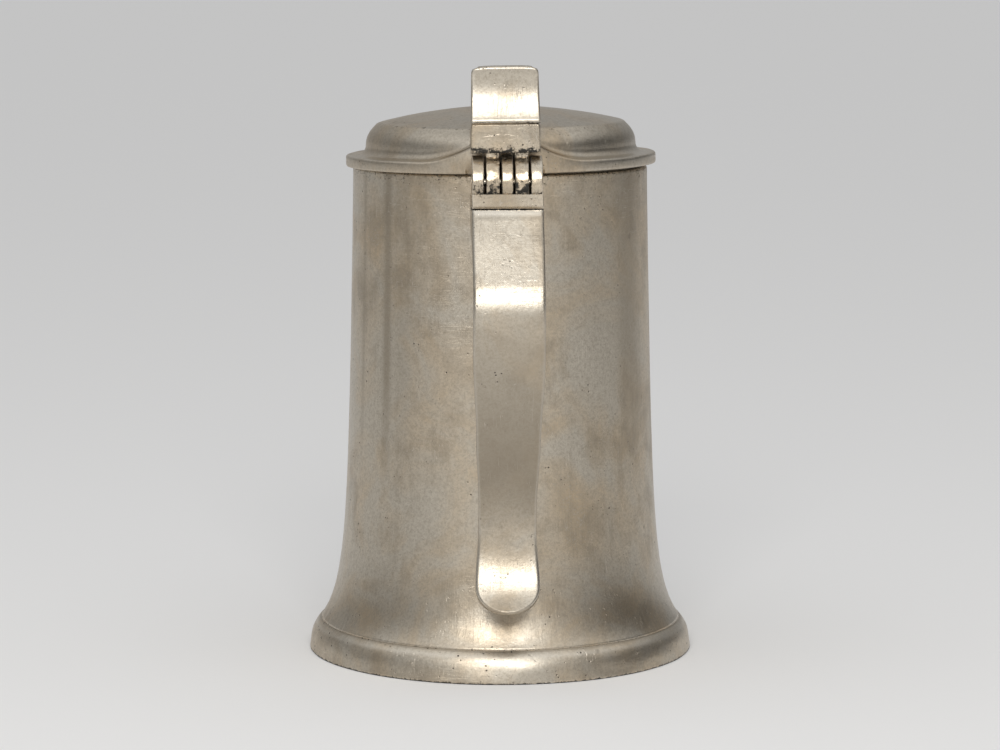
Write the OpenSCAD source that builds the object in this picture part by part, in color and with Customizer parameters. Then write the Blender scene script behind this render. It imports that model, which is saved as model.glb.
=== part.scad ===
// Half-litre pewter tankard: a flared drum on a moulded foot, with a strap handle,
// a five-knuckle hinge and a domed lid that is lifted by a thumb lift.
// Millimetres, +Z up. The origin is the centre of the foot's underside, and the
// handle points along -Y. The hinge pin lies along X, and the lid is shown closed.

/* [Drum] */
// Height of the drum's rim above the table
rim_z = 131; // [110:0.1:200]
// Outside radius of the drum at its rim
rim_r = 39.4; // [32:0.1:60]
// Thickness of the drum wall
wall = 2; // [1.2:0.1:3]
// How much the outside radius grows from the rim to the foot
taper = 1.65; // [0:0.05:6]
// Extra radius of the flare where the drum meets the foot
flare = 8.1; // [3:0.1:10]
// Height over which the flare dies away
flare_reach = 17; // [8:0.1:24]

/* [Foot] */
// Height of the foot moulding
foot_h = 8.2; // [7:0.1:12]
// Step of the seam between the drum and the foot
seam_step = 0.1; // [0:0.05:0.5]
// How far the rounded shoulder of the foot stands out
foot_round = 1.9; // [0.5:0.1:3]
// How far the foot still spreads below its shoulder
foot_spread = 1.1; // [0:0.1:3]
// Wall of the hollow foot where it stands on the table
foot_wall = 2.8; // [2:0.1:5]
// Thickness of the bottom plate
plate_t = 2; // [1:0.1:3]
// Width of the ledge that carries the bottom plate
ledge_w = 1.5; // [1:0.1:3]
// Thickness of the ledge
ledge_t = 1.2; // [0.8:0.1:2]

/* [Lid] */
// How far the lid's flange stands out past the rim
flange_over = 2.1; // [1:0.1:4]
// Thickness of the flange
flange_t = 3; // [2:0.1:5]
// How far the crown's wall stands in from the rim
crown_inset = 3.1; // [2:0.1:6]
// Height of the crown's wall above the flange
crown_h = 8.1; // [5:0.1:14]
// How much the crown's wall leans in over its height
crown_draft = 2; // [0.5:0.1:4]
// Radius of the soft corner between the crown's wall and its dome
crown_corner = 1.6; // [0.8:0.1:3]
// Rise of the dome above that corner
dome_rise = 3.9; // [2:0.1:12]
// Thickness of the lid's metal
lid_wall = 1.6; // [1:0.1:2.5]
// Depth of the locating ring below the rim
bezel_h = 2; // [1:0.1:4]
// Thickness of the locating ring
bezel_t = 1.6; // [1:0.1:3]
// Gap between the locating ring and the drum's bore
bezel_gap = 0.6; // [0.4:0.1:1.5]

/* [Hinge] */
// Gap between the knuckles and the rim's outside
hinge_gap = 0.8; // [0.5:0.1:3]
// Distance of the pin's axis below the rim
hinge_drop = 1.3; // [0:0.1:3]
// Outside radius of the knuckles
barrel_r = 6.8; // [5:0.1:7.2]
// Width of each outer knuckle
outer_knuckle_w = 3.1; // [2.4:0.1:6]
// Width of the middle knuckle
middle_knuckle_w = 2.9; // [2:0.1:6]
// Width of each of the lid's two knuckles
lid_knuckle_w = 3.5; // [2:0.1:6]
// Side gap between neighbouring knuckles
knuckle_gap = 0.5; // [0.3:0.05:1]
// Radial gap round the lid's knuckles
knuckle_clear = 0.35; // [0.25:0.05:0.6]
// Radial gap between the handle's knuckles and the lid above them
lid_clear = 0.5; // [0.4:0.05:0.9]
// Radius of the hinge pin
pin_r = 1.2; // [0.8:0.05:2]
// Running clearance of the pin in the lid's knuckles, on the radius
pin_clear = 0.06; // [0.02:0.01:0.1]
// Radius of the plugs that close the pin's bore
plug_r = 1.9; // [1.5:0.1:3]
// Thickness of those plugs
plug_t = 0.8; // [0.5:0.1:1.5]
// Height of the block's lower front edge above the bottom of the knuckles
block_up = 0.5; // [0:0.1:2]
// Depth of the block's keel below the knuckles, inside the handle's root
block_keel = 1.9; // [1:0.1:4]
// How far the block's lower front edge stands out past the knuckles
block_out = 2.2; // [1.5:0.1:4]
// Angle below level at which the block's face meets the knuckles
block_top = 21; // [10:1:45]
// Size of the groove between the block and the handle
block_groove = 0.8; // [0.3:0.1:1.5]

/* [Lid arm and thumb lift] */
// Width of the arm over the hinge
arm_w = 17.6; // [14:0.1:18]
// How far the arm's outer face stands in from the front of the knuckles
arm_in = 3.8; // [2:0.1:5]
// Gap between the knuckles and the arm's lower edge
arm_gap = 0.8; // [0.7:0.1:3]
// Height of the arm's outer face
arm_h = 7.7; // [5:0.1:10]
// How far the webs under the arm, which carry the lid's knuckles, stand in from its face
web_in = 1.4; // [0.8:0.1:3]
// Radius of the fillets between the arm and the crown
arm_fillet = 9; // [5:0.5:14]
// How far the flange's thickening runs out past the arm on each side
flank_w = 6.5; // [5:0.1:12]
// Height of the flange's thickening
flank_h = 4.4; // [2:0.1:6]
// Height of the thumb lift above the arm
lift_h = 14.3; // [10:0.1:24]
// Thickness of the thumb lift at its top
lift_t = 2.6; // [1.8:0.1:4]
// How far the thumb lift's lip overhangs the arm's outer face
lip_out = 1.9; // [0.5:0.1:3]
// Height of the lip's own edge
lip_h = 0.7; // [0.3:0.1:1.5]
// Depth of the thumb lift's foot on the arm
lift_foot = 8.4; // [6:0.1:10]
// How far each side of the thumb lift leans in towards the top
lift_draft = 0.3; // [0:0.1:1]
// Radius of the thumb lift's top corners
lift_corner = 1.6; // [1:0.1:4]

/* [Handle] */
// Width of the handle at its top
strap_w = 18.2; // [14:0.1:26]
// Width of the handle at its narrowest
waist_w = 15; // [11:0.1:22]
// Width of the handle's tongue-shaped tail
tail_w = 16.6; // [12:0.1:24]
// Thickness of the strap
strap_t = 2.9; // [2:0.1:5]
// How far the handle's outer face stands out from the rim at its bow
bow_out = 28.3; // [22:0.1:45]
// How far the bow, where the strap stands upright, lies below the hinge block
bow_drop = 25.9; // [22:0.5:40]
// Radius of the shoulder that turns the slanting strap into the bow
shoulder_r = 17; // [10:1:30]
// How far the handle's outer face stands out from the drum at its waist
waist_out = 11; // [8:0.1:20]
// Height of the waist
waist_z = 40.5; // [34:0.5:50]
// Height of the tail's tip
tail_z = 20; // [14:0.5:24]
// How far the tail's tip stands out past the waist
tail_out = 7.6; // [3:0.1:12]
// Depth of the handle's root where it is soldered to the drum
root_h = 7; // [4:0.1:12]
// Width of the lug behind the waist
lug_w = 9; // [5:0.1:13]
// Height of the lug
lug_h = 8; // [4:0.1:12]

/* [Hidden] */

$fn = 96;
pewter = [0.60, 0.58, 0.54];
pewter_dark = [0.50, 0.48, 0.44];
pewter_light = [0.68, 0.66, 0.62];
steel = [0.72, 0.72, 0.74];

// Lid heights and radii
flange_r = rim_r + flange_over;
flange_z = rim_z + flange_t;
crown_r = rim_r - crown_inset;
crown_top_r = crown_r - crown_draft;
crown_top_z = flange_z + crown_h;
dome_edge_r = crown_top_r - crown_corner;
dome_edge_z = crown_top_z + 0.6 * crown_corner;
bezel_r = rim_r - wall - bezel_gap;
// How far the flank's round face stands back from the flange's edge
flank_back = 0.05;

// Hinge axis and widths
hinge_y = -(rim_r + hinge_gap + barrel_r);
hinge_z = rim_z - hinge_drop;
lid_knuckle_x = middle_knuckle_w / 2 + knuckle_gap;
outer_knuckle_x = lid_knuckle_x + lid_knuckle_w + knuckle_gap;
hinge_w = 2 * (outer_knuckle_x + outer_knuckle_w);
block_z = hinge_z - barrel_r + block_up;
block_y = hinge_y - barrel_r - block_out;
keel_z = hinge_z - barrel_r - block_keel;
arm_y = hinge_y - barrel_r + arm_in;
arm_low_z = hinge_z + barrel_r + arm_gap;
arm_z = arm_low_z + arm_h;
relief_r = barrel_r + lid_clear;

// Bottom plate
plate_z = foot_h - plate_t;
plate_r = drum_r(foot_h) - wall - 0.5;

// ---- Curves ----

// Outside radius of the drum at a height
function flare_at(z) = flare * pow(flare_reach / (z - foot_h + flare_reach), 1.5);
function drum_r(z) = rim_r + taper * (rim_z - z) / (rim_z - foot_h)
    + flare_at(z) - flare_at(rim_z);

// Outside radius of the foot at a height
function foot_r(z) = drum_r(foot_h) + seam_step + foot_spread * (1 - z / foot_h)
    + foot_round * (1 - pow(z / foot_h, 4));

// Points on an arc, and a cubic curve between two ends with two handles
function arc(centre, r, from, to, steps) =
    [for (i = [0:steps]) let (a = from + (to - from) * i / steps)
        centre + r * [cos(a), sin(a)]];
function bezier(p, t) = pow(1 - t, 3) * p[0] + 3 * pow(1 - t, 2) * t * p[1]
    + 3 * (1 - t) * t * t * p[2] + pow(t, 3) * p[3];
function bezier_slope(p, t) = pow(1 - t, 2) * (p[1] - p[0])
    + 2 * (1 - t) * t * (p[2] - p[1]) + t * t * (p[3] - p[2]);
function curve(p, steps, from = 0) =
    [for (i = [from:steps]) bezier(p, i / steps)];

// The same curve moved sideways, to its right as it is walked along
function beside(p, steps, gap, from = 0) =
    [for (i = [from:steps]) let (s = bezier_slope(p, i / steps))
        bezier(p, i / steps) + gap * [s[1], -s[0]] / norm(s)];
function backwards(points) = [for (i = [len(points) - 1:-1:0]) points[i]];

// Points in the handle's middle plane are [y, z], and these are directions in it
function outward_down(angle) = [-sin(angle), -cos(angle)];

// ---- Drum and foot ----

drum_heights = [for (i = [0:32]) foot_h + (rim_z - foot_h) * pow(i / 32, 1.6)];

// Solid of the drum's outer shape, which the handle's pieces are fitted to
module drum_envelope() {
    rotate_extrude()
        polygon(concat([[0, foot_h]], [for (z = drum_heights) [drum_r(z), z]], [[0, rim_z]]));
}

module drum() {
    color(pewter)
        rotate_extrude()
            polygon(concat(
                [for (z = drum_heights) [drum_r(z), z]],
                backwards([for (z = drum_heights) [drum_r(z) - wall, z]])));
}

module foot_ring() {
    ledge_z = plate_z - ledge_t;
    heights = [for (i = [0:12]) foot_h * pow(i / 12, 0.8)];
    color(pewter_light)
        rotate_extrude()
            polygon(concat(
                [for (z = heights) [foot_r(z), z]],
                [[plate_r, foot_h], [plate_r, plate_z], [plate_r - ledge_w, plate_z],
                    [plate_r - ledge_w, ledge_z], [foot_r(ledge_z) - foot_wall, ledge_z],
                    [foot_r(0) - foot_wall, 0]]));
}

module base_plate() {
    color(pewter_dark)
        translate([0, 0, plate_z]) cylinder(r = plate_r, h = plate_t);
}

// ---- Handle ----

// A side view in [y, z] turned upright and made as wide as asked, about X = 0
module side_plate(points, width) {
    rotate([90, 0, 90])
        linear_extrude(width, center = true) polygon(points);
}

// A front view in [x, z] carried along Y from one depth to another
module front_plate(points, from_y, to_y) {
    translate([0, to_y, 0])
        rotate([90, 0, 0])
            linear_extrude(to_y - from_y) polygon(points);
}

// The strap runs straight from the hinge block until it touches the shoulder's circle
handle_top = [block_y + block_groove / 2, block_z];
bow_z = block_z - bow_drop;
bow = [-(rim_r + bow_out), bow_z];
shoulder_mid = bow + [shoulder_r, 0];
to_top = handle_top - shoulder_mid;
slant = 180 - atan2(to_top[1], to_top[0]) - acos(shoulder_r / norm(to_top));
shoulder_top = shoulder_mid + shoulder_r * [-cos(slant), sin(slant)];
waist = [-(drum_r(waist_z) + waist_out), waist_z];
tail = [waist[0] - tail_out, tail_z];
grip = bow_z - waist_z;
tail_len = waist_z - tail_z;
middle_curve = [bow, bow - [-1, 0.56 * grip], waist + [0, 0.21 * grip], waist];
lower_curve = [waist, waist - [0, 0.49 * tail_len], tail - 0.24 * tail_len * outward_down(50),
    tail];

// The root of the handle: where its inner face leaves the strap, and the keel above it
wall_mid = -(rim_r - wall / 2);
keel = [[wall_mid, keel_z], [handle_top[0] + 5, keel_z], [block_y + block_groove, block_z]];
root_start = shoulder_top + strap_t * [cos(slant), -sin(slant)] - 3 * outward_down(slant);
root_curve = [root_start, root_start - 5 * outward_down(slant),
    [-(rim_r + 9), block_z - root_h], [wall_mid, block_z - root_h]];

module strap_side() {
    side_plate(concat(
        keel, [handle_top],
        arc(shoulder_mid, shoulder_r, 180 - slant, 180, 8),
        curve(middle_curve, 14, 1), curve(lower_curve, 10, 1),
        backwards(beside(lower_curve, 10, -strap_t, 1)),
        backwards(beside(middle_curve, 14, -strap_t, 1)),
        arc(shoulder_mid, shoulder_r - strap_t, 180, 180 - slant, 8),
        curve(root_curve, 8)),
        strap_w + 1);
}

// Half of the strap's outline seen from the front, from the top down to the tail's tip
tail_round = 6.6;
half_outline = concat(
    curve([[strap_w / 2, block_z + 1], [strap_w / 2, bow_z + 0.18 * grip],
        [strap_w / 2 - 0.1, bow_z - 0.25 * grip], [strap_w / 2 - 0.9, bow_z - 0.42 * grip]], 8),
    curve([[strap_w / 2 - 0.9, bow_z - 0.42 * grip], [waist_w / 2 + 0.5, waist_z + 0.35 * grip],
        [waist_w / 2, waist_z + 0.25 * grip], [waist_w / 2, waist_z + 0.09 * grip]], 6, 1),
    curve([[waist_w / 2, waist_z + 0.09 * grip], [waist_w / 2, waist_z - 0.15 * tail_len],
        [tail_w / 2, tail_z + tail_round + 0.34 * tail_len],
        [tail_w / 2, tail_z + tail_round]], 8, 1),
    [for (i = [1:10]) [tail_w / 2 * cos(9 * i), tail_z + tail_round * (1 - sin(9 * i))]]);

module handle_body() {
    depth = rim_r + bow_out + tail_out;
    intersection() {
        strap_side();
        front_plate(concat(half_outline,
            backwards([for (p = half_outline) [-p[0], p[1]]])), -depth, 0);
    }
}

module handle() {
    color(pewter_light)
        difference() {
            handle_body();
            drum_envelope();
        }
}

module handle_lug() {
    reach = [waist[0] + strap_t / 2, -drum_r(waist_z) + wall];
    color(pewter)
        difference() {
            translate([0, reach[1], waist_z])
                rotate([90, 0, 0])
                    linear_extrude(reach[1] - reach[0])
                        square([lug_w, lug_h], center = true);
            handle_body();
            drum_envelope();
        }
}

// ---- Hinge ----

// A cylinder along X about the hinge pin's axis, between two places on X
module on_axis(r, from_x, to_x) {
    translate([from_x, hinge_y, hinge_z])
        rotate([0, 90, 0]) cylinder(r = r, h = to_x - from_x);
}

module hinge_block() {
    block_side = concat(keel, [
        [block_y, block_z + block_groove],
        [hinge_y, hinge_z] - barrel_r * [cos(block_top), sin(block_top)],
        [hinge_y, hinge_z],
        [hinge_y + barrel_r, hinge_z - barrel_r / 2],
        [wall_mid, hinge_z - barrel_r / 2]]);
    color(pewter_light)
        difference() {
            union() {
                side_plate(block_side, hinge_w);
                on_axis(barrel_r, -hinge_w / 2, -outer_knuckle_x);
                on_axis(barrel_r, -middle_knuckle_w / 2, middle_knuckle_w / 2);
                on_axis(barrel_r, outer_knuckle_x, hinge_w / 2);
            }
            for (x = [-outer_knuckle_x, middle_knuckle_w / 2])
                on_axis(barrel_r + knuckle_clear, x, x + lid_knuckle_w + 2 * knuckle_gap);
            on_axis(pin_r, -hinge_w / 2 - 1, hinge_w / 2 + 1);
            on_axis(plug_r, -hinge_w / 2 - 1, -hinge_w / 2 + plug_t);
            on_axis(plug_r, hinge_w / 2 - plug_t, hinge_w / 2 + 1);
            drum_envelope();
        }
}

module hinge_pin() {
    color(steel) on_axis(pin_r, -hinge_w / 2 + plug_t, hinge_w / 2 - plug_t);
}

module pin_plug_left() {
    color(pewter_dark) on_axis(plug_r, -hinge_w / 2, -hinge_w / 2 + plug_t);
}

module pin_plug_right() {
    color(pewter_dark) on_axis(plug_r, hinge_w / 2 - plug_t, hinge_w / 2);
}

// ---- Lid ----

// Dome section from its edge to its crown, for a given edge radius, edge height and rise
function dome(edge_r, edge_z, rise) = let (r = (edge_r * edge_r + rise * rise) / (2 * rise))
    [for (i = [0:14]) let (x = edge_r * (1 - i / 14))
        [x, edge_z + rise - r + sqrt(r * r - x * x)]];

lid_outside = concat(
    [[flange_r - 0.4, rim_z], [flange_r, rim_z + 0.4], [flange_r, flange_z - 0.4],
        [flange_r - 0.4, flange_z]],
    arc([crown_r + 1.2, flange_z + 1.2], 1.2, 270, 196, 4),
    [[crown_top_r, crown_top_z - 0.6], [crown_top_r - 0.25, crown_top_z + 0.2],
        [crown_top_r - 0.8, crown_top_z + 0.7]],
    dome(dome_edge_r, dome_edge_z, dome_rise));

// Solid of the lid's outer shape, which the arm is fitted to
module lid_envelope() {
    rotate_extrude() polygon(concat([[0, rim_z]], lid_outside));
}

module hinge_relief() {
    on_axis(relief_r, -hinge_w / 2 - lid_clear, hinge_w / 2 + lid_clear);
}

module lid() {
    lid_inside = concat(
        [[bezel_r - bezel_t, rim_z - bezel_h], [bezel_r - bezel_t, rim_z + flange_t / 2],
            [crown_r - lid_wall, flange_z + lid_wall],
            [crown_top_r - lid_wall, crown_top_z - lid_wall]],
        dome(dome_edge_r - lid_wall, dome_edge_z - lid_wall, dome_rise));
    color(pewter)
        difference() {
            rotate_extrude()
                polygon(concat([[bezel_r, rim_z - bezel_h], [bezel_r, rim_z]],
                    lid_outside, backwards(lid_inside)));
            hinge_relief();
        }
}

// The arm from above: parallel sides that flare into the crown's wall
module arm_plan() {
    fillet_x = arm_w / 2 + arm_fillet;
    mid_r = (crown_r + crown_top_r) / 2;
    fillet_y = -sqrt(pow(mid_r + arm_fillet, 2) - pow(fillet_x, 2));
    start = atan2(-fillet_y, -fillet_x);
    right = concat([[arm_w / 2, arm_y - 1]],
        arc([fillet_x, fillet_y], arm_fillet, 180, start, 8),
        [[0, -crown_top_r / 2]]);
    polygon(concat(right, backwards([for (p = right) [-p[0], p[1]]])));
}

// The flange's thickening from the front: it rises in a hollow curve to the arm
module flank() {
    side = [[arm_w / 2 + flank_w, rim_z + flange_t / 2], [arm_w / 2 + flank_w, flange_z],
        each curve([[arm_w / 2 + flank_w, flange_z], [arm_w / 2 + 4, flange_z + 0.2],
            [arm_w / 2 + 1, flange_z + 2], [arm_w / 2 - 1, flange_z + flank_h]], 8, 1)];
    intersection() {
        front_plate(concat(side, backwards([for (p = side) [-p[0], p[1]]])),
            -flange_r - 1, -crown_top_r / 2);
        cylinder(r = flange_r - flank_back, h = 2 * rim_z);
    }
}

module arm_body() {
    arm_side = [[arm_y, arm_low_z], [arm_y, arm_z], [hinge_y + 1.5, arm_z],
        [-crown_top_r, dome_edge_z], [-crown_top_r / 2, dome_edge_z],
        [-crown_top_r / 2, rim_z + 1], [-flange_r, rim_z + 1], [hinge_y, hinge_z + relief_r]];
    difference() {
        union() {
            intersection() {
                side_plate(arm_side, 4 * arm_w);
                linear_extrude(2 * rim_z) arm_plan();
            }
            flank();
        }
        hinge_relief();
    }
}

module lid_arm() {
    color(pewter)
        difference() {
            arm_body();
            lid_envelope();
        }
}

module lid_knuckles() {
    web = [[arm_y + web_in, arm_low_z + 1], [arm_y + web_in, arm_low_z - 1],
        [hinge_y - barrel_r / 2, hinge_z], [-flange_r, hinge_z], [-flange_r, arm_low_z + 1]];
    color(pewter_light)
        for (x = [-lid_knuckle_x - lid_knuckle_w, lid_knuckle_x])
            difference() {
                union() {
                    on_axis(barrel_r, x, x + lid_knuckle_w);
                    translate([x + lid_knuckle_w / 2, 0, 0]) side_plate(web, lid_knuckle_w);
                }
                on_axis(pin_r + pin_clear, x - 1, x + lid_knuckle_w + 1);
                arm_body();
                lid_envelope();
            }
}

module thumb_lift() {
    lip = [arm_y - lip_out, arm_z + lip_h];
    top = [arm_y - 0.9, arm_z + lift_h - 1];
    back = top + lift_t * [cos(24), sin(24)];
    lift_side = concat(
        [[arm_y - lip_out + 0.3, arm_z]],
        curve([lip, lip + 6.5 * [sin(35), cos(35)], top - 5 * [-sin(22), cos(22)], top], 10),
        curve([back, back - 5 * [-sin(22), cos(22)],
            [arm_y + lift_foot - 4, arm_z + 5], [arm_y + lift_foot - lip_out, arm_z]], 8));
    half_w = arm_w / 2;
    top_w = half_w - lift_draft;
    crest_z = arm_z + lift_h;
    right = concat([[half_w, arm_z]],
        arc([top_w - lift_corner, crest_z - 0.5 - lift_corner], lift_corner, 0, 80, 6),
        [[top_w / 2, crest_z - 0.12], [0, crest_z]]);
    color(pewter_light)
        intersection() {
            side_plate(lift_side, 2 * arm_w);
            front_plate(concat(right, backwards([for (p = right) [-p[0], p[1]]])),
                arm_y - 2 * lip_out, arm_y + 2 * lift_foot);
        }
}

drum();
foot_ring();
base_plate();
handle();
handle_lug();
hinge_block();
hinge_pin();
pin_plug_left();
pin_plug_right();
lid();
lid_arm();
lid_knuckles();
thumb_lift();
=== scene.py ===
from math import acos, atan2, cos, degrees, exp, hypot, pi, radians, sin, sqrt, tan

import bmesh
import bpy
from mathutils import Matrix, Vector, noise


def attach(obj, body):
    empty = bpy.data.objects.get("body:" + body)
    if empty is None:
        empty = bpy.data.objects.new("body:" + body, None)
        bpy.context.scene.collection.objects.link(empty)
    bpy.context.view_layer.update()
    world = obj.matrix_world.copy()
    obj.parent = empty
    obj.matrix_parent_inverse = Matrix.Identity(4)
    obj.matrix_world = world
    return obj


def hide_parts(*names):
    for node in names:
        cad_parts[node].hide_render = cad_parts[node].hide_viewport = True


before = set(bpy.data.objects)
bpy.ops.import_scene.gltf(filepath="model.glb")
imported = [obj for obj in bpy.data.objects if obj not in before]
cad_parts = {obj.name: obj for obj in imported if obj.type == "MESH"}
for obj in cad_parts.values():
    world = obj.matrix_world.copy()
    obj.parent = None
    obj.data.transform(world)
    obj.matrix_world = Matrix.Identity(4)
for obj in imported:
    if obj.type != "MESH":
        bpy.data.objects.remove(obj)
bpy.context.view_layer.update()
scene = bpy.context.scene

# ---- Camera ----
# A long lens a little above the rim, looking down at the tankard from its handle side.

camera = bpy.data.objects.new("camera", bpy.data.cameras.new("camera"))
scene.collection.objects.link(camera)
camera.data.lens = 120.6
camera.data.sensor_width = 36
camera.data.clip_start = 0.05
camera.data.clip_end = 30
camera.location = (-0.0322, -0.8988, 0.1916)
camera.rotation_euler = (radians(82.553), 0, radians(-2.05))
scene.camera = camera

# ---- Floor and light ----
# A pale paper floor, one soft box above the camera, and a room that is brightest overhead,
# paler in front and behind than at the sides, and darkest on the right.

scene.view_settings.view_transform = "Standard"
scene.view_settings.look = "None"


class Wire:
    """One socket of a node tree that works in ordinary arithmetic."""

    def __init__(self, tree, socket=None):
        self.tree, self.socket = tree, socket

    def make(self, kind, settings=None, inputs=None, output=0):
        made = self.tree.nodes.new(kind)
        for key, value in (settings or {}).items():
            setattr(made, key, value)
        for key, value in (inputs or {}).items():
            if isinstance(value, Wire):
                self.tree.links.new(value.socket, made.inputs[key])
            else:
                made.inputs[key].default_value = value
        return Wire(self.tree, made.outputs[output])

    def maths(self, operation, first, second=0.0):
        return self.make("ShaderNodeMath", {"operation": operation}, {0: first, 1: second})

    def __add__(self, other):
        return self.maths("ADD", self, other)

    def __radd__(self, other):
        return self.maths("ADD", other, self)

    def __sub__(self, other):
        return self.maths("SUBTRACT", self, other)

    def __rsub__(self, other):
        return self.maths("SUBTRACT", other, self)

    def __mul__(self, other):
        return self.maths("MULTIPLY", self, other)

    def __rmul__(self, other):
        return self.maths("MULTIPLY", other, self)

    def __truediv__(self, other):
        return self.maths("DIVIDE", self, other)

    def __rtruediv__(self, other):
        return self.maths("DIVIDE", other, self)

    def __pow__(self, other):
        return self.maths("POWER", self, other)

    def __abs__(self):
        return self.maths("ABSOLUTE", self)

    def clamp(self, low=0.0, high=1.0):
        return self.make("ShaderNodeClamp", {}, {"Value": self, "Min": low, "Max": high})

    def step(self, low, high):
        return self.make("ShaderNodeMapRange", {"interpolation_type": "SMOOTHSTEP"},
                         {"Value": self, "From Min": low, "From Max": high})


paper = bpy.data.materials.new("paper")
paper.use_nodes = True
paper_shader = paper.node_tree.nodes["Principled BSDF"]
paper_shader.inputs["Base Color"].default_value = (0.85, 0.845, 0.84, 1)
paper_shader.inputs["Roughness"].default_value = 0.95
paper_shader.inputs["Specular IOR Level"].default_value = 0.0

floor_half = 40
floor_corners = [(x * floor_half, y * floor_half, 0) for x, y in ((-1, -1), (1, -1), (1, 1), (-1, 1))]
floor_mesh = bpy.data.meshes.new("floor")
floor_mesh.from_pydata(floor_corners, [], [(0, 1, 2, 3)])
floor_mesh.materials.append(paper)
floor = bpy.data.objects.new("floor", floor_mesh)
scene.collection.objects.link(floor)

soft_box = bpy.data.lights.new("soft_box", "AREA")
soft_box.shape = "RECTANGLE"
soft_box.size = 0.62
soft_box.size_y = 0.44
soft_box.energy = 6.5
soft_box.color = (1.0, 0.99, 0.97)
lamp = bpy.data.objects.new("soft_box", soft_box)
lamp.location = (-0.06, -1.10, 0.68)
lamp.rotation_euler = (Vector((0, 0, 0.09)) - lamp.location).to_track_quat("-Z", "Y").to_euler()
scene.collection.objects.link(lamp)

room = bpy.data.worlds.new("room")
room.use_nodes = True
scene.world = room
w = Wire(room.node_tree)
towards = room.node_tree.nodes.new("ShaderNodeSeparateXYZ")
room.node_tree.links.new(w.make("ShaderNodeTexCoord", output="Generated").socket, towards.inputs[0])
to_x, to_y, to_z = (Wire(room.node_tree, towards.outputs[k]) for k in range(3))
facing = (abs(to_y) / (to_x ** 2 + to_y ** 2 + 0.0001) ** 0.5) ** 2
side_light = 0.22 - 0.18 * to_x.step(-0.3, 0.5)
end_light = 0.62 - 0.20 * to_y.step(-0.2, 0.6)
wall_light = end_light * facing + side_light * (1.0 - facing)
ceiling_light = 0.92 - 0.40 * to_y.step(0.0, 0.6)
overhead = to_z.step(0.25, 0.85)
strength = wall_light * (1.0 - overhead) + ceiling_light * overhead
backing = room.node_tree.nodes["Background"]
backing.inputs["Color"].default_value = (0.99, 0.995, 1.0, 1)
room.node_tree.links.new(strength.socket, backing.inputs["Strength"])

# ---- Drum ----
# The spun pewter body: a nearly straight wall that flares at its lower end, satin from years of
# rubbing, with long faint streaks, small pits and a darker line at its foot seam. Painted shade
# darkens its top just under the lid's flange, and its long dark bands are painted reflections.


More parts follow.
